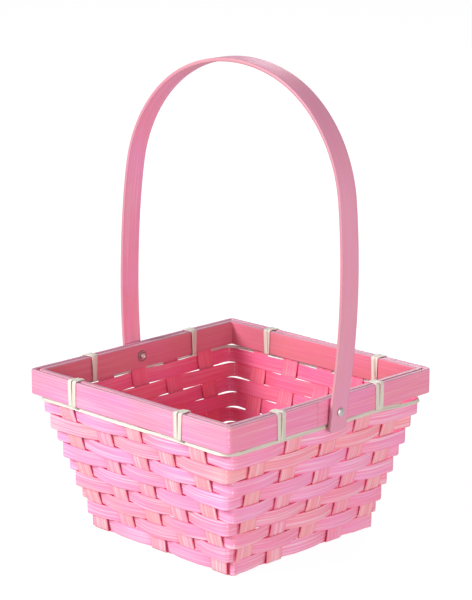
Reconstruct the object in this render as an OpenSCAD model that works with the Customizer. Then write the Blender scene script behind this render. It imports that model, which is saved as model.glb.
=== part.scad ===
// Woven bamboo basket: a square, flared, plain-woven bowl with a two-hoop rim
// that is lashed on with flat cane, and one flat bent handle on two rivets.
// Millimetres. +Z is up, the origin is under the middle of the base,
// and the handle stands in the XZ plane.

/* [Overall] */
// Height of the basket's rim above the table
basket_h = 121.6; // [95:0.1:160]
// Outside width of the square rim, the same both ways
rim_w = 206; // [170:1:260]
// Width of the square base, between the middles of the folded stakes
base_w = 142.6; // [118:0.1:172]
// Height of the crown of the handle above the table
handle_h = 348.8; // [290:0.1:430]

/* [Rim hoops] */
// Height of both rim hoops
hoop_h = 18.4; // [14:0.1:24]
// Thickness of the outer hoop
outer_hoop_t = 2.8; // [2:0.1:4]
// Thickness of the inner hoop
inner_hoop_t = 4; // [2.5:0.1:5]
// Corner radius of the outer hoop, outside
outer_corner_r = 4.5; // [4.2:0.1:9]
// Corner radius of the inner hoop, outside
inner_corner_r = 5.5; // [5.2:0.1:9]
// Gap at the butt joint where a hoop's two ends meet
hoop_joint_gap = 0.4; // [0.2:0.1:1]
// Distance from the handle's middle to each hoop's butt joint
hoop_joint_offset = 17; // [12:0.5:19]
// Clearance between a hoop and the stakes that it clamps
hoop_clearance = 0.1; // [0.05:0.01:0.3]

/* [Stakes] */
// Width of a stake
stake_w = 15.2; // [12:0.1:17]
// Thickness of a stake
stake_t = 1; // [0.7:0.05:1.3]
// Distance from the outer stake's edge to the fold at the base's edge
fold_margin = 1.9; // [1.4:0.1:4]
// Distance from the outer stake's middle to the rim's corner
corner_margin = 31.8; // [26:0.1:38]
// Drop from the rim to the stakes' cut ends
stake_end_drop = 1.2; // [0.4:0.1:3]

/* [Weavers] */
// Thickness of a weaver
weaver_t = 0.7; // [0.5:0.05:1]
// Vertical gap between one row of weaving and the next
row_gap = 1; // [0.6:0.1:2]
// Gap between the woven base and the lowest row of the wall
first_row_gap = 0.2; // [0.1:0.05:1]
// Largest corner radius of the woven wall, half way through it
weave_corner_r = 6; // [4:0.5:12]
// Clearance between strips that cross
weave_clearance = 0.05; // [0.02:0.01:0.15]

/* [Handle] */
// Width of the handle strip
handle_w = 16.4; // [12:0.1:20]
// Thickness of the handle strip
handle_t = 2.8; // [2:0.1:3.5]
// Length of the handle's tail below the rivet
handle_tail = 14.7; // [12:0.1:18]
// Outward lean of the handle's straight legs, in degrees
leg_lean = 6.9; // [4:0.1:9]
// Length of the straight leg above the rivet
leg_straight = 10; // [8:0.5:20]
// Sideways sway of the whole hand-bent arch towards +X, in degrees
handle_sway = 2.6; // [0:0.1:3]
// Inward lean where the side bend passes into the shoulder bend, in degrees
side_turn = 8.1; // [6:0.1:12]
// Inward lean where the shoulder bend passes into the crown, in degrees
shoulder_turn = 72.8; // [66:0.1:75]
// Outside radius of the shoulder bends
shoulder_r = 101.9; // [84:0.1:108]
// Radius of the tail's two corners
tail_corner_r = 3; // [1:0.1:6]
// Clearance between the tail's end and the outer hoop
tail_clearance = 0.4; // [0.3:0.1:1.5]

/* [Rivets and washers] */
// Distance from the rim down to the rivets' axis
rivet_drop = 9.2; // [7:0.1:11]
// Radius of a rivet's shank
shank_r = 1.75; // [1.4:0.05:2.2]
// Radial clearance of the shank in its holes
pin_clearance = 0.05; // [0.02:0.01:0.1]
// Radius of a rivet's head
head_r = 3.15; // [2.8:0.05:4]
// Thickness of a rivet's head
head_t = 1.6; // [1:0.1:2.5]
// Play between the rivet's head and the handle
head_clearance = 0.1; // [0.05:0.01:0.3]
// Radius of the peened end of a rivet
peen_r = 2.35; // [2.3:0.05:3]
// Thickness of the peened end of a rivet
peen_t = 1.2; // [0.8:0.1:2]
// Radius of the washer under the peened end
washer_r = 4.2; // [3.4:0.05:6]
// Thickness of the washer
washer_t = 0.8; // [0.5:0.05:1.2]

/* [Cane lashings] */
// Width of one turn of the lashing cane
cane_w = 4.1; // [3:0.1:5]
// Thickness of the lashing cane
cane_t = 0.75; // [0.5:0.05:1]
// Gap between a lashing's two turns
turn_gap = 0.8; // [0.4:0.1:1.5]
// Clearance between the cane and what it is tied round
cane_clearance = 0.08; // [0.05:0.01:0.2]

/* [Hidden] */
$fn = 64;

stake_count = 5;
row_count = 9;
stake_mid = (stake_count + 1) / 2;

// How far each lashing is tied from the middle of its gap between two stakes,
// as a share of the free room there: [low side, high side] of each rim side,
// in the order right (+X), back (+Y), left (-X), front (-Y)
lashing_shift = [[-0.55, -0.95], [-0.95, 0.95], [0.6, 0.6], [-0.95, 0.6]];
side_names = ["right", "back", "left", "front"];
lashing_names = ["lashing_right_1", "lashing_right_2", "lashing_back_1", "lashing_back_2",
    "lashing_left_1", "lashing_left_2", "lashing_front_1", "lashing_front_2"];

// Half widths from the middle of the basket to the faces in the rim
outer_hoop_out = rim_w / 2;
outer_hoop_in = outer_hoop_out - outer_hoop_t;
stake_rim = outer_hoop_in - hoop_clearance - stake_t / 2;
inner_hoop_out = stake_rim - stake_t / 2 - hoop_clearance;
inner_hoop_in = inner_hoop_out - inner_hoop_t;
hoop_z = basket_h - hoop_h;

// Base weave: the stakes ride over and under each other by this much
base_lift = stake_t / 2 + weave_clearance;
base_mid_z = base_lift + stake_t / 2;
base_top_z = 2 * base_mid_z;

// Wall: the stakes' middle plane leans from the fold to the hoops' lower edge
bend_z = hoop_z - 0.2;
wall_slope = (stake_rim - base_w / 2) / (bend_z - base_mid_z);
wall_cos = cos(atan(wall_slope));
base_pitch = (base_w / 2 - fold_margin - stake_w / 2) / (stake_mid - 1);
rim_pitch = (stake_rim - corner_margin) / (stake_mid - 1);

// Rows of weaving fill the wall up to the cane that runs under the rim
runner_room = 3.5;
first_row_z = base_top_z + first_row_gap;
row_pitch = (hoop_z - runner_room - first_row_z + row_gap) / row_count;
weaver_h = row_pitch - row_gap;

// Where a weaver lies flat over a stake: the outer stakes fan outwards on the
// way up, so the flat is a little longer than they are wide
stake_fan = (stake_mid - 1) * (rim_pitch - base_pitch) / (bend_z - base_top_z);
crossing_half = stake_w / 2 + weaver_h / 2 * stake_fan + 0.3;
weave_offset = (stake_t / 2 + weaver_t / 2 + weave_clearance) / wall_cos;
weaver_half_t = weaver_t / 2 / wall_cos;
corner_run = 0.3;

// Handle: the tail's end just clears the outer hoop, and the crown's radius
// and the side bend's radius follow from its height and width
rivet_z = basket_h - rivet_drop;
leg_in = outer_hoop_out + tail_clearance + handle_tail * tan(leg_lean);
leg_out = leg_in + handle_t / cos(leg_lean);
crown_factor = (1 - sin(shoulder_turn)) / cos(shoulder_turn);
arch_rise = handle_h - rivet_z - leg_straight * cos(leg_lean)
    - shoulder_r * (sin(shoulder_turn) - sin(side_turn));
arch_reach = leg_out + leg_straight * sin(leg_lean)
    - shoulder_r * (cos(side_turn) - cos(shoulder_turn));
side_r = (arch_rise - crown_factor * arch_reach)
    / (sin(leg_lean) + sin(side_turn) - crown_factor * (cos(leg_lean) - cos(side_turn)));
crown_r = (arch_reach + side_r * (cos(side_turn) - cos(leg_lean))) / cos(shoulder_turn);
leg_top = [leg_out + leg_straight * sin(leg_lean), rivet_z + leg_straight * cos(leg_lean)];
side_centre = leg_top + side_r * [-cos(leg_lean), sin(leg_lean)];
shoulder_centre = side_centre + (side_r - shoulder_r) * [cos(side_turn), sin(side_turn)];
crown_centre = [0, handle_h - crown_r];

// Rivet: its head clears the leaning handle all round
head_lean = head_r * tan(leg_lean);
head_x = leg_out + head_lean + head_clearance;
washer_x = inner_hoop_in;
hole_r = shank_r + pin_clearance;

// Lashings: two turns of cane side by side, in the gaps beside the outer stakes
lashing_w = 2 * cane_w + turn_gap;
lashing_mid = (stake_mid - 1.5) * rim_pitch;
lashing_room = (rim_pitch - stake_w - lashing_w) / 2;

// Half width of the stakes' middle plane at height z of the wall
function wall_half(z) = base_w / 2 + wall_slope * (z - base_mid_z);

// Spacing of the stakes at height z: they fan out up the wall
function stake_pitch(z) = base_pitch
    + (rim_pitch - base_pitch) * min(1, max(0, (z - base_top_z) / (bend_z - base_top_z)));

// Level of a stake where it crosses base stake j: over it or under it
function crossing_z(j, over) = base_mid_z + base_lift * (((j + over) % 2 == 0) ? 1 : -1);

// Unit vector from a to b, and that vector turned a quarter turn to the left
function along(a, b) = (b - a) / norm(b - a);
function left_of(v) = [-v[1], v[0]];

// Mitred normal of an open path at its point i
function path_normal(path, i) =
    let (last = len(path) - 1,
        before = left_of(along(path[max(0, i - 1)], path[max(1, i)])),
        after = left_of(along(path[min(last - 1, i)], path[min(last, i + 1)])))
    (before + after) / (1 + before * after);

// Outline of a strip of thickness t that follows an open path
function strip_outline(path, t) = concat(
    [for (i = [0:len(path) - 1]) path[i] + path_normal(path, i) * t / 2],
    [for (i = [len(path) - 1:-1:0]) path[i] - path_normal(path, i) * t / 2]);

// Middle line of a stake: up one wall, across the base, up the other wall
function stake_path(over) =
    let (first_z = crossing_z(1, over), last_z = crossing_z(stake_count, over))
    concat(
        [[-stake_rim, basket_h - stake_end_drop], [-stake_rim, bend_z], [-wall_half(first_z), first_z]],
        [for (j = [1:stake_count], edge = [-1, 1])
            if (!(j == 1 && edge == -1) && !(j == stake_count && edge == 1))
                [(j - stake_mid) * base_pitch + edge * crossing_half, crossing_z(j, over)]],
        [[wall_half(last_z), last_z], [stake_rim, bend_z], [stake_rim, basket_h - stake_end_drop]]);

// One stake along X: its bent side view cut to its fanned-out front view
module stake(k, over) {
    side = k - stake_mid;
    base_edge = side * base_pitch;
    rim_edge = side * rim_pitch;
    half = stake_w / 2;
    intersection() {
        translate([0, rim_w / 2, 0])
            rotate([90, 0, 0])
                linear_extrude(rim_w)
                    polygon(strip_outline(stake_path(over), stake_t));
        rotate([90, 0, 90])
            translate([0, 0, -rim_w / 2])
                linear_extrude(rim_w)
                    polygon([
                        [base_edge - half, -1], [base_edge + half, -1], [base_edge + half, base_top_z],
                        [rim_edge + half, bend_z], [rim_edge + half, basket_h],
                        [rim_edge - half, basket_h], [rim_edge - half, bend_z],
                        [base_edge - half, base_top_z]]);
    }
}

module rivet_holes() {
    translate([0, 0, rivet_z])
        rotate([0, 90, 0])
            cylinder(r = hole_r, h = 2 * rim_w, center = true);
}

module stake_x(k) {
    color("lightpink")
        difference() {
            stake(k, k + 1);
            if (k == stake_mid) rivet_holes();
        }
}

module stake_y(k) {
    color("lightpink") rotate([0, 0, 90]) stake(k, k);
}

// Corner radius of the wall at height z: it tightens where the outer stakes
// come close to the corner, down by the base
function corner_r(z) = min(weave_corner_r,
    wall_half(z) - (stake_mid - 1) * stake_pitch(z) - crossing_half - corner_run);

// A ring of four corners of the weaver's section: in, out at z1, out, in at z2
function face_ring(face, u, offset, z1, z2) =
    [for (c = [[z1, -1], [z1, 1], [z2, 1], [z2, -1]])
        turned(face, [wall_half(c[0]) + offset + c[1] * weaver_half_t, u, c[0]])];

function corner_ring(face, angle, offset, z1, z2) =
    let (middle = (z1 + z2) / 2, a = wall_half(middle) - corner_r(middle))
    [for (c = [[z1, -1], [z1, 1], [z2, 1], [z2, -1]])
        let (r = wall_half(c[0]) - a + offset + c[1] * weaver_half_t)
        turned(face, [a + r * cos(angle), a + r * sin(angle), c[0]])];

function turned(face, p) = [
    p[0] * cos(90 * face) - p[1] * sin(90 * face),
    p[0] * sin(90 * face) + p[1] * cos(90 * face), p[2]];

// All rings of one weaver: outside a stake, inside the next, and round the
// corners, where it always passes from one side of the stakes to the other
function weaver_rings(row) =
    let (z1 = first_row_z + (row - 1) * row_pitch,
        z2 = z1 + weaver_h,
        middle = (z1 + z2) / 2,
        pitch = stake_pitch(middle),
        run = wall_half(middle) - corner_r(middle) - (stake_mid - 1) * pitch - crossing_half,
        bend = corner_r(middle) * PI / 2,
        corner_steps = 4)
    [for (face = [0:3])
        let (sign_of = function(i) ((i + face + row) % 2 == 0) ? 1 : -1,
            last = sign_of(stake_count))
        each concat(
            [for (i = [1:stake_count], edge = [-1, 1])
                face_ring(face, (i - stake_mid) * pitch + edge * crossing_half,
                    weave_offset * sign_of(i), z1, z2)],
            [for (s = [0:corner_steps])
                let (share = (run + bend * s / corner_steps) / (2 * run + bend))
                corner_ring(face, 90 * s / corner_steps,
                    weave_offset * last * cos(180 * share), z1, z2)])];

module weaver(row) {
    rings = weaver_rings(row);
    count = len(rings);
    color(row % 2 == 0 ? "plum" : "pink")
        polyhedron(
            points = [for (ring = rings) each ring],
            faces = [for (i = [0:count - 1], k = [0:3])
                let (a = 4 * i + k,
                    b = 4 * i + (k + 1) % 4,
                    c = 4 * ((i + 1) % count) + (k + 1) % 4,
                    d = 4 * ((i + 1) % count) + k)
                each [[a, c, b], [a, d, c]]]);
}

// A square of half width half with corners of radius r
module rounded_square(half, r) {
    square([2 * half, 2 * (half - r)], center = true);
    square([2 * (half - r), 2 * half], center = true);
    for (x = [-1, 1], y = [-1, 1])
        translate([x * (half - r), y * (half - r)])
            circle(r);
}

// An upright band bent round a square, between two half widths
module band(out, inn, r, h) {
    linear_extrude(h)
        difference() {
            rounded_square(out, r);
            rounded_square(inn, r - (out - inn));
        }
}

// Cut that parts a hoop's two ends, in front of the right leg (side = -1)
// or behind it (side = 1)
module butt_joint(side) {
    translate([stake_rim, side * hoop_joint_offset, basket_h])
        cube([4 * inner_hoop_t, hoop_joint_gap, 4 * hoop_h], center = true);
}

module outer_hoop() {
    color("hotpink")
        difference() {
            translate([0, 0, hoop_z])
                band(outer_hoop_out, outer_hoop_in, outer_corner_r, hoop_h);
            butt_joint(-1);
            rivet_holes();
        }
}

module inner_hoop() {
    color("palevioletred")
        difference() {
            translate([0, 0, hoop_z])
                band(inner_hoop_out, inner_hoop_in, inner_corner_r, hoop_h);
            butt_joint(1);
            rivet_holes();
        }
}

// The cane runs on from lashing to lashing, under the outer hoop
module rim_runner() {
    top = hoop_z - cane_t - 2 * cane_clearance;
    bottom = first_row_z + row_count * row_pitch - row_gap + cane_clearance;
    inside = wall_half(top) + stake_t / 2 / wall_cos + cane_clearance;
    color("ivory")
        translate([0, 0, bottom])
            band(inside + cane_t, inside, outer_corner_r, top - bottom);
}

// Two turns of cane round both hoops, side by side, joined underneath
module lashing(name) {
    index = search([name], lashing_names)[0];
    face = floor(index / 2);
    end = index % 2;
    middle = (2 * end - 1) * lashing_mid + lashing_shift[face][end] * lashing_room;
    mirrored = (face == 0 || face == 3) ? 1 : -1;
    inside = inner_hoop_in - cane_clearance;
    outside = outer_hoop_out + cane_clearance;
    low = hoop_z - cane_clearance;
    high = basket_h + cane_clearance;
    color("ivory")
        rotate([0, 0, 90 * face])
            translate([0, mirrored * middle, 0]) {
                for (turn = [-1, 1])
                    translate([0, turn * (cane_w + turn_gap) / 2 + cane_w / 2, 0])
                        rotate([90, 0, 0])
                            linear_extrude(cane_w)
                                difference() {
                                    translate([inside - cane_t, low - cane_t])
                                        square([outside - inside + 2 * cane_t, high - low + 2 * cane_t]);
                                    translate([inside, low])
                                        square([outside - inside, high - low]);
                                }
                translate([inside, -lashing_w / 2, low - cane_t])
                    cube([outside - inside, lashing_w, cane_t]);
            }
}

// Points along an arc in the XZ plane, without its first point
function arc_points(centre, r, from, to, steps) =
    [for (s = [1:steps]) let (angle = from + (to - from) * s / steps)
        centre + r * [cos(angle), sin(angle)]];

// Middle line of the right half of the handle, from below the tail to the crown
function handle_half() =
    let (inset = handle_t / 2,
        lean = [sin(leg_lean), cos(leg_lean)],
        leg_end = leg_top - inset * [cos(leg_lean), -sin(leg_lean)])
    concat(
        [leg_end - (leg_straight + handle_tail + handle_t) * lean, leg_end],
        arc_points(side_centre, side_r - inset, -leg_lean, side_turn, 4),
        arc_points(shoulder_centre, shoulder_r - inset, side_turn, shoulder_turn, 16),
        arc_points(crown_centre, crown_r - inset, shoulder_turn, 90, 5));

// One flat strip, bent to its side view and cut to its front view, which has
// the tails' rounded corners
module handle() {
    half = handle_half();
    last = len(half) - 1;
    arch = concat(half, [for (i = [last - 1:-1:0]) [-half[i][0], half[i][1]]]);
    path = [for (p = arch) [p[0] + max(0, p[1] - leg_top[1]) * tan(handle_sway), p[1]]];
    tail_z = rivet_z - handle_tail;
    corner_y = handle_w / 2 - tail_corner_r;
    color("violet")
        difference() {
            intersection() {
                rotate([90, 0, 0])
                    linear_extrude(handle_w, center = true)
                        polygon(strip_outline(path, handle_t));
                rotate([90, 0, 90])
                    linear_extrude(2 * rim_w, center = true) {
                        translate([-handle_w / 2, tail_z + tail_corner_r])
                            square([handle_w, handle_h]);
                        translate([-corner_y, tail_z])
                            square([2 * corner_y, handle_h]);
                        for (side = [-1, 1])
                            translate([side * corner_y, tail_z + tail_corner_r])
                                circle(tail_corner_r);
                    }
            }
            rivet_holes();
        }
}

// A domed head outside the handle, a shank through the rim, a peened end inside
module rivet(side) {
    peen_x = washer_x - washer_t;
    color("gainsboro")
        translate([0, 0, rivet_z])
            rotate([0, 90 * side, 0])
                rotate_extrude()
                    polygon([
                        [0, peen_x - peen_t], [peen_r - peen_t / 2, peen_x - peen_t],
                        [peen_r, peen_x - peen_t / 2], [peen_r, peen_x], [shank_r, peen_x],
                        [shank_r, head_x], [head_r, head_x], [head_r, head_x + head_t / 2],
                        [head_r - head_t / 2, head_x + head_t], [0, head_x + head_t]]);
}

module washer(side) {
    color("silver")
        translate([side * washer_x, 0, rivet_z])
            rotate([0, -90 * side, 0])
                difference() {
                    cylinder(r = washer_r, h = washer_t);
                    translate([0, 0, -washer_t])
                        cylinder(r = hole_r, h = 3 * washer_t);
                }
}

for (k = [1:stake_count]) {
    stake_x(k);
    stake_y(k);
}
for (row = [1:row_count])
    weaver(row);
outer_hoop();
inner_hoop();
rim_runner();
for (name = lashing_names)
    lashing(name);
handle();
rivet(1);  // rivet_right
rivet(-1);  // rivet_left
washer(1);  // washer_right
washer(-1);  // washer_left
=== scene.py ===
import math

import bpy
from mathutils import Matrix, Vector, noise


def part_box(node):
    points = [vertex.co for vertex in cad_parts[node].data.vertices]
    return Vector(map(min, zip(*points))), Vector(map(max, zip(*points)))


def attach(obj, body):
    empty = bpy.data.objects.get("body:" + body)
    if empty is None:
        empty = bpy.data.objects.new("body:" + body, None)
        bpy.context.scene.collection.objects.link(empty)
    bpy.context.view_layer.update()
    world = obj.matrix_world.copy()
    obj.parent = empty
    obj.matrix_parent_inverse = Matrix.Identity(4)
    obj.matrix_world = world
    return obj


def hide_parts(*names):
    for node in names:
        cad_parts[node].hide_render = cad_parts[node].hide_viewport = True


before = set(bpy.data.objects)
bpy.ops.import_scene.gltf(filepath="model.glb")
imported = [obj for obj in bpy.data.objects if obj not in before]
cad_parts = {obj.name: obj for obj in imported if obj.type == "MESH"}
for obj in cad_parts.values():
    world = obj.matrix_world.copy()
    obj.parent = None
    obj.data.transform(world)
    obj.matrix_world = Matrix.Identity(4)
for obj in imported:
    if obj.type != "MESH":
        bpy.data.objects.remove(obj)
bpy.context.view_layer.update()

mm = 0.001


# what the frame says about the basket's sizes

def lowHigh(node):
    low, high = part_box(node)
    return Vector(low), Vector(high)


strips = {
    "stakeThick": 1.0 * mm,
    "weaverThick": 0.7 * mm,
    "cornerRadius": 6 * mm,    # most that a weaver's corner opens to
    "cornerRoom": 0.9 * mm,    # least that it leaves beside the last stake
    "outsideGap": 0.05 * mm,
}

outerLow, outerHigh = lowHigh("outer_hoop")
innerHoopOut = lowHigh("inner_hoop")[1].x
innerHoopIn = lowHigh("washer_right")[1].x
rimOut, rimLow, rimTop = outerHigh.x, outerLow.z, outerHigh.z
stakeRim = lowHigh("stake_x_3")[1].x - strips["stakeThick"] / 2
outerHoopIn = 2 * stakeRim - innerHoopOut
stakeWidth = lowHigh("stake_y_3")[1].x - lowHigh("stake_y_3")[0].x
edgeLow, edgeHigh = lowHigh("stake_x_5")
stakeEnd = edgeHigh.z
basePitch = (edgeLow.y + stakeWidth / 2) / 2
rimPitch = (edgeHigh.y - stakeWidth / 2) / 2
rowBoxes = [lowHigh(f"weaver_{row}") for row in range(1, 10)]
firstRow, lastRow = rowBoxes[0][1], rowBoxes[-1][1]
wallSlope = (lastRow.x - firstRow.x) / (lastRow.z - firstRow.z)
wallCos = math.cos(math.atan(wallSlope))
weaverOut = (strips["stakeThick"] / 2 + strips["weaverThick"] + strips["outsideGap"]) / wallCos
rivetZ = (lowHigh("rivet_right")[0].z + lowHigh("rivet_right")[1].z) / 2
baseMid = strips["stakeThick"] + strips["outsideGap"]
foldTop = 2 * baseMid

uneven = {
    "baseSkew": 0.75 * mm,     # how far the base sits off the rim's middle, to +X and +Y
    "rimLift": 0.25 * mm,
    "rimWarp": 0.5 * mm,       # the rim's corner at +X +Y stands this much higher
    "driftHeight": 60 * mm,    # from here up a stake has all of its drift
    # how far each stake stands from its even place, in millimetres, low to high
    # along X or Y, with the front at -Y and the right at +X
    "stakeDrift": {
        "front": [-0.7, 2.2, 2.4, -0.6, -0.7],
        "back": [0.9, -0.6, 0.8, -1.2, 0.4],
        "right": [-1.8, -2.2, 1.8, 0.6, -1.0],
        "left": [0.6, 1.0, 0.0, -0.9, 1.1],
    },
}


def wallHalf(z):
    return firstRow.x - weaverOut + wallSlope * (z - firstRow.z)


def clamp(value, low=0.0, high=1.0):
    return max(low, min(high, value))


def skewed(at):
    share = uneven["baseSkew"] * clamp(1 - at.z / rimLow)
    return at + Vector((share, share, 0))


def rimLifted(at):
    warp = uneven["rimWarp"] * (at.x + at.y) / (2 * rimOut)
    return at + Vector((0, 0, uneven["rimLift"] + warp))


def smooth(value):
    value = clamp(value)
    return value * value * (3 - 2 * value)


def stakePitch(z):
    return basePitch + (rimPitch - basePitch) * clamp((z - foldTop) / (rimLow - foldTop))


def cornerRadius(z):
    room = wallHalf(z) - 2 * stakePitch(z) - stakeWidth / 2 - strips["cornerRoom"]
    return min(strips["cornerRadius"], room)


def turned(face, out, along, z):
    x, y = [(out, along), (-along, out), (-out, -along), (along, -out)][face]
    return Vector((x, y, z))


def driftAt(wall, stake, z):
    return uneven["stakeDrift"][wall][stake] * mm * smooth(z / uneven["driftHeight"])


faceNames = ["right", "back", "left", "front"]


def stakePlaces(face, z):
    wall = faceNames[face]
    places = [(k - 2) * stakePitch(z) + driftAt(wall, k, z) for k in range(5)]
    return places if face in (0, 3) else [-p for p in reversed(places)]


# node helpers

class Wire:
    def __init__(self, net, socket):
        self.net, self.socket = net, socket

    def math(self, operation, other, swap=False):
        pair = (other, self) if swap else (self, other)
        return self.net.node("ShaderNodeMath", {"operation": operation}, {0: pair[0], 1: pair[1]})[0]

    def __add__(self, other):
        return self.math("ADD", other)

    __radd__ = __add__

    def __mul__(self, other):
        return self.math("MULTIPLY", other)

    __rmul__ = __mul__

    def __sub__(self, other):
        return self.math("SUBTRACT", other)

    def __rsub__(self, other):
        return self.math("SUBTRACT", other, True)

    def __truediv__(self, other):
        return self.math("DIVIDE", other)

    def __pow__(self, other):
        return self.math("POWER", other)


class Outputs:
    def __init__(self, net, node):
        self.net, self.node = net, node

    def __getitem__(self, key):
        return Wire(self.net, self.node.outputs[key])


class Net:
    def __init__(self, tree):
        self.tree = tree

    def node(self, kind, settings=None, sockets=None):
        made = self.tree.nodes.new(kind)
        for name, value in (settings or {}).items():
            if name == "stops":
                ramp = made.color_ramp
                while len(ramp.elements) < len(value):
                    ramp.elements.new(0.5)
                for element, (place, colour) in zip(ramp.elements, value):
                    element.position, element.color = place, colour
            else:
                setattr(made, name, value)
        for name, value in (sockets or {}).items():
            socket = made.inputs[name]
            if isinstance(value, Wire):
                self.tree.links.new(value.socket, socket)
            else:
                socket.default_value = value
        return Outputs(self, made)

    def one(self, operation, value):
        return self.node("ShaderNodeMath", {"operation": operation}, {0: value})[0]


# the strip that everything is woven from

stripInputs = {
    "Width": ("NodeSocketFloat", 0.01),
    "Thickness": ("NodeSocketFloat", 0.001),
    "Squareness": ("NodeSocketFloat", 0.25),
    "Crown": ("NodeSocketFloat", 0.0),
    "Edge Wander": ("NodeSocketFloat", 0.0),
    "Wander Scale": ("NodeSocketFloat", 60.0),
    "Seed": ("NodeSocketFloat", 0.0),
    "Tone": ("NodeSocketFloat", 0.5),
    # how far the inner faces go to the deep colour: painted shade of the inside, partly a darker dye
    "Depth": ("NodeSocketFloat", 0.0),
    "Material": ("NodeSocketMaterial", None),
}


def buildStripTree():
    tree = bpy.data.node_groups.new("stripSweep", "GeometryNodeTree")
    tree.is_modifier = True
    face = tree.interface
    face.new_socket("Geometry", in_out="INPUT", socket_type="NodeSocketGeometry")
    for name, (kind, default) in stripInputs.items():
        socket = face.new_socket(name, in_out="INPUT", socket_type=kind)
        if default is not None:
            socket.default_value = default
    face.new_socket("Geometry", in_out="OUTPUT", socket_type="NodeSocketGeometry")
    net = Net(tree)
    given = net.node("NodeGroupInput")

    def named(name, kind="FLOAT"):
        return net.node("GeometryNodeInputNamedAttribute", {"data_type": kind}, {"Name": name})[0]

    def store(geometry, name, value):
        return net.node("GeometryNodeStoreNamedAttribute", {"data_type": "FLOAT", "domain": "POINT"},
                        {"Geometry": geometry, "Name": name, "Value": value})[0]

    # path: mesh edges to a curve whose normal is the way across the strip
    curve = net.node("GeometryNodeMeshToCurve", None, {"Mesh": given["Geometry"]})[0]
    curve = net.node("GeometryNodeSetCurveNormal", {"mode": "FREE"},
                     {"Curve": curve, "Normal": named("side", "FLOAT_VECTOR")})[0]

    # section: a squared-off ellipse with a slightly crowned face
    ring = net.node("GeometryNodeCurvePrimitiveCircle", {"mode": "RADIUS"},
                    {"Resolution": 28, "Radius": 1.0})[0]
    turn = net.node("GeometryNodeSplineParameter")["Factor"] * (2 * math.pi)
    cosine, sine = net.one("COSINE", turn), net.one("SINE", turn)
    squareness = given["Squareness"]
    flatX = net.one("SIGN", cosine) * (net.one("ABSOLUTE", cosine) ** squareness)
    flatY = net.one("SIGN", sine) * (net.one("ABSOLUTE", sine) ** squareness)
    across = flatX * given["Width"] * 0.5
    lift = flatY * given["Thickness"] * 0.5 + given["Crown"] * (1 - flatX * flatX) * (flatY * 0.5 + 0.5)
    place = net.node("ShaderNodeCombineXYZ", None, {"X": across, "Y": lift})[0]
    ring = store(ring, "across", across)
    ring = store(ring, "rimward", net.one("ABSOLUTE", flatX))
    ring = store(ring, "inner", net.one("GREATER_THAN", flatY * -1.0))
    ring = net.node("GeometryNodeSetPosition", None, {"Geometry": ring, "Position": place})[0]

    solid = net.node("GeometryNodeCurveToMesh", None,
                     {"Curve": curve, "Profile Curve": ring, "Fill Caps": True})[0]

    # hand-cut edges: the strip swells and narrows along its length
    spot = net.node("ShaderNodeCombineXYZ", None, {"X": named("along"), "Y": given["Seed"]})[0]
    ripple = net.node("ShaderNodeTexNoise", {"noise_dimensions": "2D"},
                      {"Vector": spot, "Scale": given["Wander Scale"], "Detail": 2.0})[0]
    edge = named("across") / (given["Width"] * 0.5)
    shift = named("across") * (named("swell") - 1) + edge * (ripple - 0.5) * given["Edge Wander"]
    move = net.node("ShaderNodeVectorMath", {"operation": "SCALE"},
                    {0: named("side", "FLOAT_VECTOR"), "Scale": shift})[0]
    solid = net.node("GeometryNodeSetPosition", None, {"Geometry": solid, "Offset": move})[0]
    solid = net.node("GeometryNodeSetShadeSmooth", None, {"Geometry": solid})[0]
    for name, value in (("seed", given["Seed"]), ("tone", given["Tone"]), ("depth", given["Depth"])):
        solid = store(solid, name, value)
    solid = net.node("GeometryNodeRealizeInstances", None, {"Geometry": solid})[0]
    solid = net.node("GeometryNodeSetMaterial", None, {"Geometry": solid, "Material": given["Material"]})[0]
    net.node("NodeGroupOutput", None, {"Geometry": solid})
    return tree


stripTree = buildStripTree()


def pathObject(name, path):
    points = [step["at"] for step in path]
    edges = [(i, i + 1) for i in range(len(points) - 1)]
    mesh = bpy.data.meshes.new(name)
    mesh.from_pydata(points, edges, [])
    side = mesh.attributes.new("side", "FLOAT_VECTOR", "POINT")
    side.data.foreach_set("vector", [c for step in path for c in step["side"]])
    lengths, total = [], 0.0
    for i, point in enumerate(points):
        total += (point - points[i - 1]).length if i else 0
        lengths.append(total)
    mesh.attributes.new("along", "FLOAT", "POINT").data.foreach_set("value", lengths)
    # swell is a factor on the width, fold the distance to a corner's crease, and
    # tuck how far the strip is behind a stake, which sets where the painted shade falls beside it
    for key, default in (("swell", 1.0), ("fold", 0.1), ("tuck", 0.0)):
        values = [step.get(key, default) for step in path]
        mesh.attributes.new(key, "FLOAT", "POINT").data.foreach_set("value", values)
    made = bpy.data.objects.new(name, mesh)
    bpy.context.scene.collection.objects.link(made)
    return made


def sweep(name, path, look):
    source = pathObject(name + "Path", path)
    modifier = source.modifiers.new("strip", "NODES")
    modifier.node_group = stripTree
    for item in stripTree.interface.items_tree:
        if item.in_out == "INPUT" and item.name in look:
            modifier[item.identifier] = look[item.name]
    depsgraph = bpy.context.evaluated_depsgraph_get()
    depsgraph.update()
    mesh = bpy.data.meshes.new_from_object(source.evaluated_get(depsgraph), depsgraph=depsgraph)
    mesh.name = name
    piece = bpy.data.objects.new(name, mesh)
    bpy.context.scene.collection.objects.link(piece)
    bpy.data.objects.remove(source)
    return piece


def hand(piece, body, node):
    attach(piece, body)
    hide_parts(node)


# materials

def newMaterial(name):
    material = bpy.data.materials.new(name)
    material.use_nodes = True
    material.node_tree.nodes.clear()
    return material, Net(material.node_tree)


def finishMaterial(net, sockets):
    shader = net.node("ShaderNodeBsdfPrincipled", None, sockets)
    net.node("ShaderNodeOutputMaterial", None, {"Surface": shader["BSDF"]})


def attribute(net, name):
    return net.node("ShaderNodeAttribute", {"attribute_name": name})["Fac"]


def mixColour(net, share, first, second):
    made = net.node("ShaderNodeMix", {"data_type": "RGBA"}, {0: share, 6: first, 7: second})
    return made[2]


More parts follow.
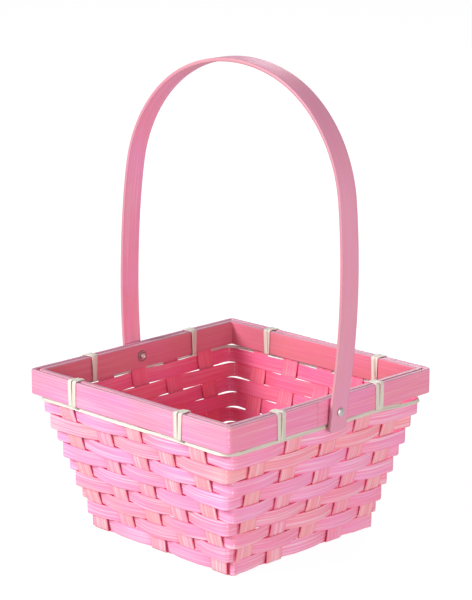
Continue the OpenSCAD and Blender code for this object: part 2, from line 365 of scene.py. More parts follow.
def ramped(net, value, start, end, top=1.0):
    return net.node("ShaderNodeMapRange", None, {0: value, 1: start, 2: end, 3: 0.0, 4: top})[0]


bambooDye = {
    "peach": (0.96, 0.35, 0.40, 1),    # a strip's tone goes from peach by pink to lilac
    "pink": (0.96, 0.28, 0.46, 1),
    "lilac": (0.96, 0.33, 0.61, 1),
    "pale": (0.99, 0.70, 0.80, 1),     # light fibres
    "streak": 0.68,                    # and how much they show
    "line": (0.80, 0.14, 0.30, 1),     # dark fibres
    "deep": (0.92, 0.05, 0.18, 1),     # inner faces, by the strip's inner shade: partly a darker dye, partly painted shade and pink bounce light of the inside
    "edge": (0.88, 0.09, 0.20, 1),     # narrow cut faces, painted darker: painted shade, such as the crimson slits beside the stakes
    "edgeShare": 0.55,
    "slit": (0.62, 0.02, 0.10, 1),     # painted shade where a strip tucks under another
    "crease": (1.0, 0.93, 0.93, 1),    # pale dashes along a corner's crease
}
hoopDye = bambooDye | {
    "peach": (0.86, 0.33, 0.34, 1),
    "pink": (0.88, 0.27, 0.41, 1),
    "lilac": (0.88, 0.26, 0.51, 1),
    "pale": (0.94, 0.60, 0.70, 1),
    # the hoops' narrow top and bottom faces are painted dim and grey: painted shade
    "edge": (0.55, 0.30, 0.40, 1),
    "edgeShare": 0.9,
    "streak": 0.45,
}
# the inner hoop's inner face deeper still: partly its darker dye, partly painted shade of the inside
innerHoopDye = hoopDye | {"deep": (0.57, 0.10, 0.16, 1)}
handleDye = bambooDye | {
    "peach": (0.88, 0.38, 0.43, 1),
    "pink": (0.90, 0.29, 0.46, 1),
    "lilac": (0.92, 0.31, 0.58, 1),
    "pale": (0.94, 0.62, 0.70, 1),
    "line": (0.62, 0.20, 0.28, 1),
    "deep": (0.74, 0.33, 0.45, 1),
    "edge": (0.42, 0.20, 0.20, 1),
    "edgeShare": 0.6,
    "streak": 0.4,
}


def bamboo(name, look):
    material, net = newMaterial(name)
    across, along = attribute(net, "across"), attribute(net, "along")
    seed, tone, depth = attribute(net, "seed"), attribute(net, "tone"), attribute(net, "depth")

    def grain(acrossScale, alongScale, detail, shift):
        spot = net.node("ShaderNodeCombineXYZ", None,
                        {"X": across * acrossScale, "Y": along * alongScale, "Z": seed + shift})[0]
        return net.node("ShaderNodeTexNoise", None,
                        {"Vector": spot, "Scale": 1.0, "Detail": detail, "Roughness": 0.6})[0]

    broad = grain(160, 9, 2.0, 0.0)
    streak = grain(950, 11, 2.5, 7.0)
    fine = grain(2100, 9, 2.0, 13.0)
    patch = grain(20, 16, 2.0, 23.0)
    hue = tone + (patch - 0.5) * 1.1 + (broad - 0.5) * 0.5
    dyed = net.node("ShaderNodeValToRGB", {"stops": [(0.15, look["peach"]), (0.5, look["pink"]),
                                                     (0.85, look["lilac"])]}, {0: hue})[0]
    inner = attribute(net, "inner")
    colour = mixColour(net, ramped(net, streak, 0.48, 0.66, look["streak"]), dyed, look["pale"])
    colour = mixColour(net, ramped(net, fine, 0.54, 0.7, 0.45), colour, look["line"])
    # painted shade on the inner faces: a deeper red where the strip faces into the basket, partly a darker
    # dye as well
    colour = mixColour(net, inner * depth, colour, look["deep"])
    # narrow cut faces mixed toward the edge colour: painted shade on stakes, weavers and hoops, and a
    # brownish line along the handle's edges
    cut = attribute(net, "rimward") + (streak - 0.5) * 0.06
    colour = mixColour(net, ramped(net, cut, 0.9, 1.0, look["edgeShare"]), colour, look["edge"])
    # painted shade beside a stake: on the outer face where the strip dives behind it, on the inner face
    # where it passes in front
    tuck = attribute(net, "tuck") * (1 - 2 * inner)
    colour = mixColour(net, ramped(net, tuck, 0.25, 1.0, 0.55), colour, look["slit"])
    # a broken pale line along each crease
    waver = grain(500, 0, 1.0, 31.0) - 0.5
    away = net.one("ABSOLUTE", attribute(net, "fold") + waver * (2 * mm))
    dashes = ramped(net, grain(900, 0, 1.0, 47.0), 0.52, 0.6)
    crease = ramped(net, away, 0.35 * mm, 0.1 * mm)
    colour = mixColour(net, crease * dashes * 0.8, colour, look["crease"])
    relief = streak * 0.6 + fine * 0.4
    bump = net.node("ShaderNodeBump", None,
                    {"Strength": 0.25, "Distance": 0.3 * mm, "Height": relief})[0]
    rough = 0.42 + (fine - 0.5) * 0.2
    finishMaterial(net, {"Base Color": colour, "Roughness": rough, "Normal": bump,
                         "Specular IOR Level": 0.45})
    return material


stakeBamboo = bamboo("stakeBamboo", bambooDye)
weaverBamboo = bamboo("weaverBamboo", bambooDye)
outerHoopBamboo = bamboo("outerHoopBamboo", hoopDye)
innerHoopBamboo = bamboo("innerHoopBamboo", innerHoopDye)
handleBamboo = bamboo("handleBamboo", handleDye)

caneDye = {
    "light": (0.80, 0.76, 0.68, 1),
    "dark": (0.58, 0.52, 0.43, 1),
}


def caneMaterial():
    material, net = newMaterial("naturalCane")
    across, along, seed = attribute(net, "across"), attribute(net, "along"), attribute(net, "seed")
    spot = net.node("ShaderNodeCombineXYZ", None, {"X": across * 1500, "Y": along * 25, "Z": seed})[0]
    fibre = net.node("ShaderNodeTexNoise", None, {"Vector": spot, "Scale": 1.0, "Detail": 3.0})[0]
    colour = mixColour(net, ramped(net, fibre, 0.35, 0.7), caneDye["light"], caneDye["dark"])
    bump = net.node("ShaderNodeBump", None,
                    {"Strength": 0.3, "Distance": 0.2 * mm, "Height": fibre})[0]
    finishMaterial(net, {"Base Color": colour, "Roughness": 0.38 + fibre * 0.2, "Normal": bump})
    return material


def steelMaterial(name, bright, dull, roughness):
    material, net = newMaterial(name)
    where = net.node("ShaderNodeTexCoord")["Object"]
    wear = net.node("ShaderNodeTexNoise", None, {"Vector": where, "Scale": 900.0, "Detail": 4.0})[0]
    colour = mixColour(net, wear, bright, dull)
    bump = net.node("ShaderNodeBump", None,
                    {"Strength": 0.15, "Distance": 0.1 * mm, "Height": wear})[0]
    finishMaterial(net, {"Base Color": colour, "Metallic": 1.0, "Roughness": roughness + wear * 0.2,
                         "Normal": bump})
    return material


cane = caneMaterial()
steel = steelMaterial("rivetSteel", (0.92, 0.92, 0.91, 1), (0.70, 0.69, 0.67, 1), 0.28)
# the washers inside the basket: steel painted darker and pinker, standing in for the shade and pink
# reflections of the inside
washerSteel = steelMaterial("washerSteel", (0.50, 0.42, 0.42, 1), (0.30, 0.24, 0.24, 1), 0.4)
print("materials made")


# weavers

weaverLook = {
    "step": 1.2 * mm,
    "outside": 1.5 * mm,     # how far a weaver passes outside and inside the stakes
    "inside": 1.45 * mm,
    "footOutside": 1.0 * mm,
    "shade": 1.3 * mm,       # reach of the painted shade, a dark slit, beside a stake
    "dip": 0.45 * mm,        # outside passes sit lower, inside passes higher
    "grow": 1.09,            # rows nearly touch on the flat of a wall
    "upright": (0.35, 0.95),  # how far the strip stands straight up: on the flat, at a corner
    "footLow": 2.2 * mm,     # the first row hides the base's edge
    "wobble": 0.3 * mm,
    "jointGap": 0.2 * mm,
    # rows from the base up: tone from peach 0 to lilac 1
    "tones": [0.62, 0.56, 0.44, 0.50, 0.72, 0.74, 0.78, 0.22, 0.66],
}


def flattened(wave):
    # stays longer near 1 and -1, since a strip lies flat over a stake
    return wave * (1.5 - 0.5 * wave * wave)


def swingOf(wave, row):
    # from 1, outside a stake, to -1, inside it
    outside = weaverLook["footOutside" if row == 1 else "outside"]
    return wave * (outside if wave > 0 else weaverLook["inside"])


def weavePath(row):
    low, high = rowBoxes[row - 1]
    foot = weaverLook["footLow"] if row == 1 else low.z
    middle = (foot + high.z) / 2
    radius = cornerRadius(middle)
    flat = wallHalf(middle) - radius
    quarter = 2 * flat + radius * math.pi / 2
    length = 4 * quarter
    outerStake = 2 * stakePitch(middle)
    places = [stakePlaces(face, middle) for face in range(4)]
    startFace = 3 if row % 2 else 0   # a stake that this row passes inside, near the front
    start = startFace * quarter + places[startFace][2]
    count = round(length / weaverLook["step"])
    span = length - weaverLook["jointGap"]
    seedShift = Vector((row * 13.7, 0, 0))
    path = []
    for i in range(count + 1):
        run = (start + span * i / count) % length
        face = int(((run + flat) % length) // quarter)
        along = (run + flat) % length - face * quarter - flat
        if along <= flat:
            turn, out, side = 0.0, flat + radius, along
        else:
            turn = (along - flat) / radius
            out, side = flat + radius * math.cos(turn), flat + radius * math.sin(turn)
        angle = turn + face * math.pi / 2
        normal = Vector((math.cos(angle), math.sin(angle), 0))
        at = turned(face, out, side, 0)
        # weave: outside one stake, inside the next
        here = places[face]
        before, after = places[(face - 1) % 4], places[(face + 1) % 4]
        marks = [before[4] - quarter] + here + [after[0] + quarter]
        k = max(j for j in range(6) if marks[j] <= along + 1e-9 or j == 0)
        sign = 1 if (k + face + row) % 2 == 0 else -1
        share = (along - marks[k]) / (marks[k + 1] - marks[k])
        wave = sign * flattened(math.cos(math.pi * share))
        # past the outer stakes it holds its place up to the crease, where the
        # next wall's offset takes over
        sidestep = 0.0
        if k == 5 or turn:
            wave = 1 if (5 + face + row) % 2 == 0 else -1
            sidestep = -smooth((along - marks[5]) / (flat - marks[5]))
        elif k == 0:
            wave = 1 if (1 + face + row) % 2 == 0 else -1
            sidestep = smooth((marks[1] - along) / (marks[1] + flat))
        # the strip stands more upright from the outer stakes to the corner
        fromMiddle = min(abs(along), quarter - along)
        corner = smooth((fromMiddle - outerStake) / (quarter / 2 - outerStake))
        flatUp, cornerUp = weaverLook["upright"]
        slope = wallSlope * (1 - flatUp - (cornerUp - flatUp) * corner)
        dip = 0.0 if row == 1 else weaverLook["dip"] * math.cos(math.pi * share) * sign
        rise = weaverLook["wobble"] * noise.noise(at * 14 + seedShift) - dip
        swing = swingOf(wave, row)
        at += turned(face, swing, swing * sidestep, 0)
        at.z = middle + rise
        at = skewed(at)
        fold = along - quarter / 2 if along > 0 else along + quarter / 2
        # how far this spot is tucked behind a stake (+) or in front of one (-), which places the painted
        # shade
        nearest = min(range(1, 6), key=lambda j: abs(along - marks[j]))
        near = 1 - (abs(along - marks[nearest]) - stakeWidth / 2) / weaverLook["shade"]
        tuck = smooth(near) * (-1 if (nearest + face + row) % 2 == 0 else 1)
        path.append({"at": at, "side": (normal * slope + Vector((0, 0, 1))).normalized(),
                     "swell": 1 + 0.02 * noise.noise(at * 9 + seedShift * 3), "fold": fold,
                     "tuck": tuck})
    return path, (high.z - foot) / wallCos


for row in range(1, 10):
    path, width = weavePath(row)
    piece = sweep(f"weaver{row}", path, {
        "Width": width * weaverLook["grow"], "Thickness": strips["weaverThick"], "Squareness": 0.22,
        "Crown": 0.12 * mm, "Edge Wander": 0.35 * mm, "Wander Scale": 70.0, "Seed": row * 3.17,
        "Tone": weaverLook["tones"][row - 1], "Depth": 0.6, "Material": weaverBamboo})
    hand(piece, "basket", f"weaver_{row}")
print("weavers woven")


# stakes

stakeLook = {
    "step": 1.5 * mm,
    "wave": 0.35 * mm,
    "footOut": 1.6 * mm,
    "foldRadius": 1.2 * mm,
    "bendRadius": 9.0 * mm,
    "bendBelow": 0.2 * mm,   # its bend is this far under the hoops
    "baseRadius": 12 * mm,
    "baseSlack": 0.6 * mm,   # it comes level this far past the stake it crosses
    "lift": strips["stakeThick"] / 2 + strips["outsideGap"],
    "calmTop": 8 * mm,       # the wave fades over this much below the top row
    "footTop": 11 * mm,      # and the bulge at the fold ends here
    "footLow": 2 * mm,
    "nearWall": 0.85,        # share of the base's half where the bulge starts
    "tones": [0.16, 0.26, 0.2, 0.3, 0.12],
}


def rounded(corners, radii, step):
    # a line through the corners, each eased to its radius
    points = [corners[0]]
    for i in range(1, len(corners) - 1):
        a, b, c = corners[i - 1], corners[i], corners[i + 1]
        into, away = (a - b).normalized(), (c - b).normalized()
        turn = math.pi - into.angle(away)
        reach = min(radii[i] * math.tan(turn / 2), 0.49 * (a - b).length, 0.49 * (c - b).length)
        steps = max(2, math.ceil(turn * radii[i] / step * 2)) if turn > 0.02 else 1
        for j in range(steps + 1):
            t = j / steps
            first, last = b + into * reach, b + away * reach
            points.append(first * (1 - t) ** 2 + b * 2 * t * (1 - t) + last * t ** 2)
    points.append(corners[-1])
    return resampled(points, step)


def resampled(points, step):
    # the same line in even steps
    lengths = [0.0]
    for a, b in zip(points, points[1:]):
        lengths.append(lengths[-1] + (b - a).length)
    count = max(2, round(lengths[-1] / step))
    result, k = [], 0
    for i in range(count + 1):
        want = lengths[-1] * i / count
        while k < len(points) - 2 and lengths[k + 1] < want:
            k += 1
        gap = lengths[k + 1] - lengths[k]
        share = (want - lengths[k]) / gap if gap > 1e-12 else 0.0
        result.append(points[k].lerp(points[k + 1], clamp(share)))
    return result


def sided(line, wide):
    # each point of a line, with the way across a strip that keeps to wide
    result = []
    for i, at in enumerate(line):
        tangent = (line[min(i + 1, len(line) - 1)] - line[max(i - 1, 0)]).normalized()
        result.append((at, (wide - tangent * wide.dot(tangent)).normalized()))
    return result


def stakeWave(face, order, out, z):
    # a stake gives way to the rows, and bulges at its fold where it shows
    place = (z - rowBoxes[0][0].z) / (rowBoxes[1][0].z - rowBoxes[0][0].z) - 0.5
    shows = (order + face) % 2 == 0
    wave = stakeLook["wave"] * math.cos(math.pi * place) * (1 if shows else -1)
    top = smooth((rowBoxes[-1][1].z - z) / stakeLook["calmTop"])
    base = smooth((z - stakeLook["footLow"]) / (stakeLook["footTop"] - stakeLook["footLow"]))
    start = stakeLook["nearWall"]
    near = smooth((out / wallHalf(0) - start) / (1 - start))
    return wave * top * base + (stakeLook["footOut"] * (1 - base) * near if shows else 0.0)


def stakePath(axis, number):
    wallNames = ("left", "right") if axis == "x" else ("front", "back")
    # base: an x stake rides over the y stakes whose number has the other parity
    over = [(j + number) % 2 == (1 if axis == "x" else 0) for j in range(1, 6)]
    levels = [baseMid + stakeLook["lift"] * (1 if o else -1) for o in over]
    corners, radii = [], []

    def add(x, z, radius):
        corners.append(Vector((x, 0, z)))
        radii.append(radius)

    bendZ = rimLow - stakeLook["bendBelow"]
    add(-stakeRim, stakeEnd, 0)
    add(-stakeRim, bendZ, stakeLook["bendRadius"])
    add(-wallHalf(levels[0]), levels[0], stakeLook["foldRadius"])
    reach = stakeWidth / 2 + stakeLook["baseSlack"]
    for j in range(5):
        for edge in (-1, 1):
            if (j, edge) in ((0, -1), (4, 1)):
                continue
            add((j - 2) * basePitch + edge * reach, levels[j], stakeLook["baseRadius"])
    add(wallHalf(levels[4]), levels[4], stakeLook["foldRadius"])
    add(stakeRim, bendZ, stakeLook["bendRadius"])
    add(stakeRim, stakeEnd, 0)
    line = rounded(corners, radii, stakeLook["step"])
    k = number - 1 if axis == "x" else 5 - number   # y stakes are numbered from +X
    placed = []
    for p in line:
        wall = wallNames[1] if p.x > 0 else wallNames[0]
        y = (k - 2) * stakePitch(p.z) + driftAt(wall, k, p.z)
        face = faceNames.index(wall)
        order = k if face in (0, 3) else 4 - k
        x = p.x + math.copysign(stakeWave(face, order + 1, abs(p.x), p.z), p.x)
        placed.append(skewed(Vector((x, y, p.z)) if axis == "x" else Vector((y, x, p.z))))
    wide = Vector((0, -1, 0)) if axis == "x" else Vector((1, 0, 0))
    shift = Vector((number * 5.1, 0, 3 if axis == "x" else 9))
    return [{"at": at, "side": side, "swell": 1 + 0.025 * noise.noise(at * 12 + shift)}
            for at, side in sided(placed, wide)]


for axis in "xy":
    for number in range(1, 6):
        piece = sweep(f"stake{axis.upper()}{number}", stakePath(axis, number), {
            "Width": stakeWidth, "Thickness": strips["stakeThick"] * 0.95, "Squareness": 0.2,
            "Crown": 0.0, "Edge Wander": 0.3 * mm, "Wander Scale": 50.0,
            "Seed": number * 7.31 + (40 if axis == "x" else 0),
            "Tone": stakeLook["tones"][number - 1], "Depth": 0.6, "Material": stakeBamboo})
        hand(piece, "basket", f"stake_{axis}_{number}")
print("stakes set")


# rim

rimLook = {
    "height": rimTop - rimLow,
    "jointOffset": 17 * mm,
    "jointGap": 0.25 * mm,
    "warp": 0.35 * mm,
    "step": 1.2 * mm,
}

hoops = {
    "outer": {"outside": rimOut, "thick": rimOut - outerHoopIn, "corner": 3.4 * mm, "jointSide": -1,
              "tone": 0.6, "depth": 0.0, "seed": 61.0, "material": outerHoopBamboo},
    "inner": {"outside": innerHoopOut, "thick": innerHoopOut - innerHoopIn, "corner": 4.6 * mm,
              "jointSide": 1, "tone": 0.38, "depth": 0.6, "seed": 71.0, "material": innerHoopBamboo},
}


def squarePath(half, radius, middle, start, gap, step, warp=0.0, seed=0.0):
    flat = half - radius
    quarter = 2 * flat + radius * math.pi / 2
    length = 4 * quarter
    count = round(length / step)
    path = []
    for i in range(count + 1):
        run = (start + gap / 2 + (length - gap) * i / count) % length
        face = int(((run + flat) % length) // quarter)
        along = (run + flat) % length - face * quarter - flat
        turn = max(0.0, (along - flat) / radius)
        out = flat + radius * math.cos(turn)
        side = flat + radius * math.sin(turn) if turn else along
        at = turned(face, out, side, middle)
        at.z += warp * noise.noise(at * 11 + Vector((seed, 0, 0)))
        fold = along - quarter / 2 if along > 0 else along + quarter / 2
        path.append({"at": rimLifted(at), "side": Vector((0, 0, 1)), "fold": fold})
    return path


for name, hoop in hoops.items():
    half = hoop["thick"] / 2
    path = squarePath(hoop["outside"] - half, hoop["corner"] - half, (rimLow + rimTop) / 2,
                      hoop["jointSide"] * rimLook["jointOffset"], rimLook["jointGap"],
                      rimLook["step"], rimLook["warp"], hoop["seed"])
    piece = sweep(name + "Hoop", path, {
        "Width": rimLook["height"], "Thickness": hoop["thick"], "Squareness": 0.16, "Crown": 0.0,
        "Edge Wander": 0.3 * mm, "Wander Scale": 30.0, "Seed": hoop["seed"], "Tone": hoop["tone"],
        "Depth": hoop["depth"], "Material": hoop["material"]})
    hand(piece, "basket", f"{name}_hoop")
print("hoops bent")


# cane under the rim and its lashings

caneLook = {
    "width": 3.6 * mm,
    "thick": 0.85 * mm,
    "gap": 0.1 * mm,
    "spread": 2.5 * mm,      # half the distance between a lashing's two turns, outside
    "inside": 1.0 * mm,      # the same at the foot of the hoops, inside
    "bend": 1.3 * mm,
    "step": 0.9 * mm,
    "runnerStep": 1.5 * mm,
    "runnerGap": 0.3 * mm,
    "runnerLift": 0.4 * mm,
    "tied": 4 * mm,          # the runner is held this near to a lashing
    "sagReach": 30 * mm,     # and sags fully this much further on
    "sag": 0.7 * mm,
    "looseEnd": 2.6 * mm,    # it hangs this much lower at the corner at +X +Y
    "twist": 0.35,
    "thinning": 0.22,
    "cornerRadius": 13 * mm,
}


def lashingPath(face, middle):
    gap = caneLook["thick"] / 2 + caneLook["gap"]
    out, inn = rimOut + gap, innerHoopIn - gap
    low, high = rimLow - gap, rimTop + gap
    wide, near = caneLook["spread"], caneLook["inside"]
    lap = caneLook["thick"]
    corners = [
        (stakeRim, -near * 0.6, low), (out, -wide * 0.72, low), (out, -wide, high),
        (inn, -wide * 0.45, high), (inn, -near * 0.3, low), (stakeRim, 0, low - lap * 0.5),
        (out, wide * 0.72, low - lap * 0.3), (out, wide, high),
        (inn - lap * 0.9, wide * 0.45, high), (inn - lap * 0.9, near * 0.4, low),
        (stakeRim, near * 0.5, low - lap)]
    points = [turned(face, o, middle + v, z) for o, v, z in corners]
    radii = [0] + [caneLook["bend"]] * (len(points) - 2) + [0]
    line = rounded([rimLifted(p) for p in points], radii, caneLook["step"])
    return [{"at": at, "side": side, "swell": 1 + 0.05 * noise.noise(at * 60)}
            for at, side in sided(line, turned(face, 0, 1, 0))]


lashings = []
for face, wall in enumerate(faceNames):
    for number in (1, 2):
        node = f"lashing_{wall}_{number}"
        low, high = lowHigh(node)
        centre = (low + high) / 2
        middle = [centre.y, -centre.x, -centre.y, centre.x][face]
        lashings.append((face, middle))
        piece = sweep(f"lashing{wall.capitalize()}{number}", lashingPath(face, middle), {
            "Width": caneLook["width"], "Thickness": caneLook["thick"], "Squareness": 0.7,
            "Crown": 0.15 * mm, "Edge Wander": 0.1 * mm, "Wander Scale": 120.0,
            "Seed": face * 9.0 + number, "Tone": 0.5, "Depth": 0.0, "Material": cane})
        hand(piece, "basket", node)


def runnerPath():
    low, high = lowHigh("rim_runner")
    half = high.x - caneLook["thick"] / 2
    middle = (low.z + high.z) / 2 + caneLook["runnerLift"]
    path = squarePath(half, caneLook["cornerRadius"], middle, 0, caneLook["runnerGap"],
                      caneLook["runnerStep"])
    looseRun = half - max(place for face, place in lashings if face == 0)
    for step in path:
        at = step["at"]
        at.z -= caneLook["looseEnd"] * smooth(1.15 - (2 * half - at.x - at.y) / looseRun)
        nearest = min((at - turned(face, half, place, middle)).length for face, place in lashings)
        loose = smooth((nearest - caneLook["tied"]) / caneLook["sagReach"])
        at.z -= caneLook["sag"] * loose * (1 + 1.2 * noise.noise(at * 16))
        twist = caneLook["twist"] + 0.8 * loose * noise.noise(at * 12 + Vector((7, 0, 0)))
        out = Vector((at.x, at.y, 0)).normalized()
        step["side"] = (Vector((0, 0, 1)) - out * twist).normalized()
        step["swell"] = 1 - caneLook["thinning"] * loose * (1 + noise.noise(at * 20))
    return path


piece = sweep("rimRunner", runnerPath(), {
    "Width": caneLook["width"], "Thickness": caneLook["thick"], "Squareness": 0.45, "Crown": 0.0,
    "Edge Wander": 0.2 * mm, "Wander Scale": 90.0, "Seed": 5.0, "Tone": 0.5, "Depth": 0.0, "Material": cane})
hand(piece, "basket", "rim_runner")
print("rim lashed")


# handle

handleLook = {
    "thick": 2.8 * mm,
    "tail": 14.7 * mm,
    "tailCorner": 3.0 * mm,
    "tailGap": 0.4 * mm,
    "straight": 10 * mm,
    "lean": math.radians(6.9),
    "sideTurn": math.radians(8.1),
    "shoulderTurn": math.radians(72.8),
    "shoulderRadius": 101.9 * mm,
    "sway": math.radians(2.6),   # above the straight legs
    "leftBow": 1.2 * mm,         # the left leg bows in, from its tail to the shoulder
    "bowBelow": 15 * mm,         # it starts this far below the rivet
    "bowRise": 25 * mm,
    "bowTop": 270 * mm,
    "bowFade": 90 * mm,
    "step": 2 * mm,
    "endSteps": [0, 0.15, 0.4, 0.8, 1.3, 2.0, 3.0],   # millimetres, for the rounded tails
}


def leftBow(p):
    look = handleLook
    if p.x > 0:
        return 0.0
    rise = smooth((p.z - rivetZ + look["bowBelow"]) / look["bowRise"])
    return look["leftBow"] * rise * smooth((look["bowTop"] - p.z) / look["bowFade"])


def handlePath():
    # each half is a straight leg and three arcs that meet smoothly; the radii of
    # the side's arc and the crown's follow from the frame's width and height
    look = handleLook
    lean, turn, last = look["lean"], look["sideTurn"], look["shoulderTurn"]
    thick, shoulder = look["thick"], look["shoulderRadius"]
    low, high = lowHigh("handle")
    legOut = rimOut + look["tailGap"] + look["tail"] * math.tan(lean) + thick / math.cos(lean)
    factor = (1 - math.sin(last)) / math.cos(last)
    upright = look["straight"] * Vector((math.sin(lean), 0, math.cos(lean)))
    top = Vector((legOut, 0, rivetZ)) + upright
    rise = high.z - top.z - shoulder * (math.sin(last) - math.sin(turn))
    reach = top.x - shoulder * (math.cos(turn) - math.cos(last))
    sideR = (rise - factor * reach) / (
        math.sin(lean) + math.sin(turn) - factor * (math.cos(lean) - math.cos(turn)))
    crown = (reach + sideR * (math.cos(turn) - math.cos(lean))) / math.cos(last)
    sideC = top + sideR * Vector((-math.cos(lean), 0, math.sin(lean)))
    shoulderC = sideC + (sideR - shoulder) * Vector((math.cos(turn), 0, math.sin(turn)))
    crownC = Vector((0, 0, high.z - crown))

    def arc(centre, radius, start, end):
        steps = max(2, math.ceil(abs(end - start) * radius / look["step"]))
        return [centre + (radius - thick / 2) * Vector((math.cos(a), 0, math.sin(a)))
                for a in (start + (end - start) * s / steps for s in range(1, steps + 1))]

    legEnd = top - thick / 2 * Vector((math.cos(lean), 0, -math.sin(lean)))
    foot = legEnd - (look["straight"] + look["tail"]) * Vector((math.sin(lean), 0, math.cos(lean)))
    half = [foot, legEnd] + arc(sideC, sideR, -lean, turn)
    half += arc(shoulderC, shoulder, turn, last) + arc(crownC, crown, last, math.pi / 2)
    whole = half + [Vector((-p.x, 0, p.z)) for p in reversed(half[:-1])]
    whole = [Vector((p.x + max(0.0, p.z - top.z) * math.tan(look["sway"]), 0, p.z)) for p in whole]
    line = resampled([Vector((p.x + leftBow(p), 0, p.z)) for p in whole], look["step"])

    def tailEnd(tip, inner):
        return [tip.lerp(inner, s * mm / (inner - tip).length) for s in look["endSteps"]]

    line = tailEnd(line[0], line[2]) + line[2:-2] + tailEnd(line[-1], line[-3])[::-1]
    lengths = [0.0]
    for a, b in zip(line, line[1:]):
        lengths.append(lengths[-1] + (b - a).length)
    width, corner = high.y - low.y, look["tailCorner"]
    path = []
    for at, run in zip(line, lengths):
        nearest = min(run, lengths[-1] - run)
        if nearest < corner:
            cut = corner - math.sqrt(max(0.0, corner ** 2 - (corner - nearest) ** 2))
            swell = 1 - 2 * cut / width
        else:
            swell = 1 + 0.008 * noise.noise(at * 7)
        path.append({"at": at, "side": Vector((0, 1, 0)), "swell": swell})
    return path, width


path, width = handlePath()
piece = sweep("bentHandle", path, {
    "Width": width, "Thickness": handleLook["thick"], "Squareness": 0.2, "Crown": 0.0,
    "Edge Wander": 0.25 * mm, "Wander Scale": 25.0, "Seed": 88.0, "Tone": 0.58, "Depth": 0.6,
    "Material": handleBamboo})
hand(piece, "handle", "handle")
print("handle bent")


# rivets and washers

rivetLook = {
    "segments": 56,
    "shank": 1.75 * mm,
    "head": 3.15 * mm,
    "headThick": 1.6 * mm,
    "peen": 2.35 * mm,
    "dimple": 0.9 * mm,
    "centre": 0.05 * mm,     # radius of the small flat at the dimple's bottom
    "hole": 1.8 * mm,
    "washer": 4.2 * mm,
    "bevel": 0.25 * mm,
    "rim": 0.3 * mm,         # the head's straight edge, under its dome
    "rollBack": 0.02 * mm,
    "leftIn": 0.75 * mm,     # the left leg bows in, and its rivet's head with it
}


def enclosed(points, faces):
    # the volume inside, negative where the faces point inwards
    triangles = [(face[0], face[i], face[i + 1]) for face in faces for i in range(1, len(face) - 1)]
    corners = [[Vector(points[i]) for i in triangle] for triangle in triangles]
    return sum(a.dot(b.cross(c)) for a, b, c in corners) / 6


def lathe(name, side, outline, closed, metal):
    count = rivetLook["segments"]
    points, faces = [], []
    for r, x in outline:
        for i in range(count):
            angle = 2 * math.pi * i / count
            points.append((side * x, r * math.cos(angle), rivetZ + r * math.sin(angle)))
    rings = len(outline)
    for j in range(rings if closed else rings - 1):
        for i in range(count):
            a, b = j * count + i, j * count + (i + 1) % count
            c, d = ((j + 1) % rings) * count + (i + 1) % count, ((j + 1) % rings) * count + i
            faces.append((a, b, c, d) if side > 0 else (d, c, b, a))
    if not closed:
        first = tuple(range(count))
        last = tuple(range((rings - 1) * count, rings * count))
        faces.append(first[::-1] if side > 0 else first)
        faces.append(last if side > 0 else last[::-1])
    mesh = bpy.data.meshes.new(name)
    mesh.from_pydata(points, [], faces)
    mesh.update()
    if enclosed(points, faces) < 0:
        mesh.flip_normals()
    mesh.shade_smooth()
    mesh.materials.append(metal)
    piece = bpy.data.objects.new(name, mesh)
    bpy.context.scene.collection.objects.link(piece)
    return piece


def curveRing(centreR, centreX, reachR, reachX, start, end, steps):
    turns = [math.radians(start + (end - start) * i / steps) for i in range(steps + 1)]
    return [(centreR + reachR * math.cos(t), centreX + reachX * math.sin(t)) for t in turns]


for wall, side in (("right", 1), ("left", -1)):
    look = rivetLook
    low, high = lowHigh(f"rivet_{wall}")
    tail, tip = (low.x, high.x) if side > 0 else (-high.x, -low.x)
    low, high = lowHigh(f"washer_{wall}")
    inner, outer = (low.x, high.x) if side > 0 else (-high.x, -low.x)
    if side < 0:
        tip -= look["leftIn"]
    seat = tip - look["headThick"]
    roll = (look["peen"] - look["dimple"]) / 2
    # outline from the dimple, over the peened roll and along the shank to the head
    deep, rollX = inner - tail, inner - look["rollBack"]
    outline = [(look["centre"], tail + 0.75 * deep), (look["dimple"] * 0.7, tail + 0.6 * deep)]
    outline += curveRing(look["dimple"] + roll, rollX, roll, rollX - tail, -165, 0, 10)
    outline += [(look["shank"], inner), (look["shank"], seat), (look["head"] * 0.97, seat)]
    dome = look["headThick"] - look["rim"]
    outline += curveRing(0, seat + look["rim"], look["head"], dome, 0, 88, 12)
    piece = lathe(f"rivet{wall.capitalize()}", side, outline, False, steel)
    hand(piece, "basket", f"rivet_{wall}")
    bevel, hole, edge = look["bevel"], look["hole"], look["washer"]
    ring = [(hole, inner + bevel), (hole + bevel, inner), (edge - bevel, inner),
            (edge - 0.28 * bevel, inner + 0.28 * bevel), (edge, inner + bevel),
            (edge, outer), (hole, outer)]
    piece = lathe(f"washer{wall.capitalize()}", side, ring, True, washerSteel)
    hand(piece, "basket", f"washer_{wall}")
print("rivets set")


# floor, light and camera

floorLook = {
    "half": 6.0,
    "colour": (0.25, 0.25, 0.25, 1),
    "glow": 0.9,
}


def stageFloor():
    mesh = bpy.data.meshes.new("floor")
    half = floorLook["half"]
    corners = [(-half, -half, 0), (half, -half, 0), (half, half, 0), (-half, half, 0)]
    mesh.from_pydata(corners, [], [(0, 1, 2, 3)])
    floor = bpy.data.objects.new("floor", mesh)
    bpy.context.scene.collection.objects.link(floor)
    material, net = newMaterial("paleFloor")
    finishMaterial(net, {"Base Color": floorLook["colour"], "Roughness": 0.9, "Specular IOR Level": 0.0,
                         "Emission Color": (1, 1, 1, 1), "Emission Strength": floorLook["glow"]})
    mesh.materials.append(material)
    floor.visible_diffuse = False
    floor.visible_glossy = False


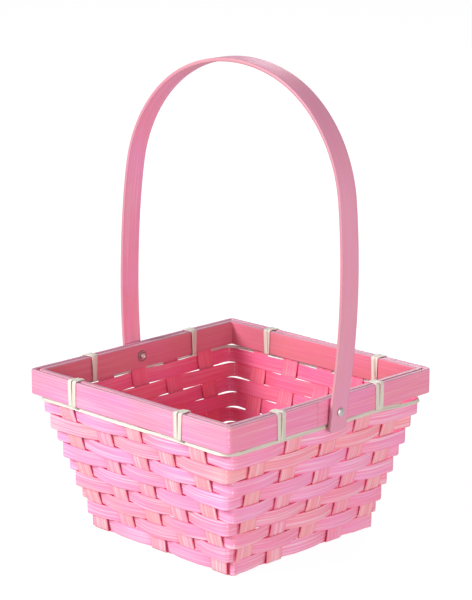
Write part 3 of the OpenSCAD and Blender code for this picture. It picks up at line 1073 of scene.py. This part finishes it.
lamps = {
    "key": {"place": (-0.9, -2.0, 1.3), "aim": 0.12, "size": 1.0, "power": 73, "colour": (0.97, 0.97, 0.98)},
    "fill": {"place": (2.0, -0.7, 0.35), "aim": 0.1, "size": 0.9, "power": 22, "colour": (1.0, 0.95, 0.90)},
    "back": {"place": (-1.2, 2.0, 1.0), "aim": 0.15, "size": 1.0, "power": 12, "colour": (1, 1, 1)},
}


def areaLight(name, look):
    light = bpy.data.lights.new(name, "AREA")
    light.shape, light.size, light.energy = "DISK", look["size"], look["power"]
    light.color = look["colour"]
    lamp = bpy.data.objects.new(name, light)
    bpy.context.scene.collection.objects.link(lamp)
    lamp.location = look["place"]
    aim = Vector((0, 0, look["aim"])) - Vector(look["place"])
    lamp.rotation_euler = aim.to_track_quat("-Z", "Y").to_euler()


cameraLook = {
    "around": 45.4,
    "above": 15.98,
    "distance": 1.605,
    "height": 0.12,
    "aimAround": 45.25,
    "aimDown": 14.15,
    "lens": 132.9,
}


def setCamera():
    look = cameraLook
    around, above = math.radians(look["around"]), math.radians(look["above"])
    target = Vector((0, 0, look["height"]))
    place = target + look["distance"] * Vector((
        math.sin(around) * math.cos(above), -math.cos(around) * math.cos(above), math.sin(above)))
    data = bpy.data.cameras.new("camera")
    data.lens = look["lens"]
    camera = bpy.data.objects.new("camera", data)
    bpy.context.scene.collection.objects.link(camera)
    camera.location = place
    camera.rotation_euler = (math.radians(90 - look["aimDown"]), 0, math.radians(look["aimAround"]))
    bpy.context.scene.camera = camera


def studioWorld(above, below):
    # a white table throws more light up than the room throws down
    world = bpy.data.worlds.new("studio")
    bpy.context.scene.world = world
    world.use_nodes = True
    world.node_tree.nodes.clear()
    net = Net(world.node_tree)
    seen = net.node("ShaderNodeLightPath")["Is Camera Ray"]
    way = net.node("ShaderNodeSeparateXYZ", None, {0: net.node("ShaderNodeTexCoord")["Generated"]})["Z"]
    glow = net.node("ShaderNodeMapRange", None, {0: way, 1: -0.7, 2: 0.7, 3: below, 4: above})[0]
    sky = net.node("ShaderNodeBackground", None, {
        "Color": (1, 1, 1, 1), "Strength": seen * (1 - glow) + glow})
    net.node("ShaderNodeOutputWorld", None, {"Surface": sky["Background"]})


stageFloor()
for name, look in lamps.items():
    areaLight(name, look)
setCamera()
studioWorld(above=0.28, below=0.62)
bpy.context.scene.view_settings.view_transform = "Standard"
print("stage lit")
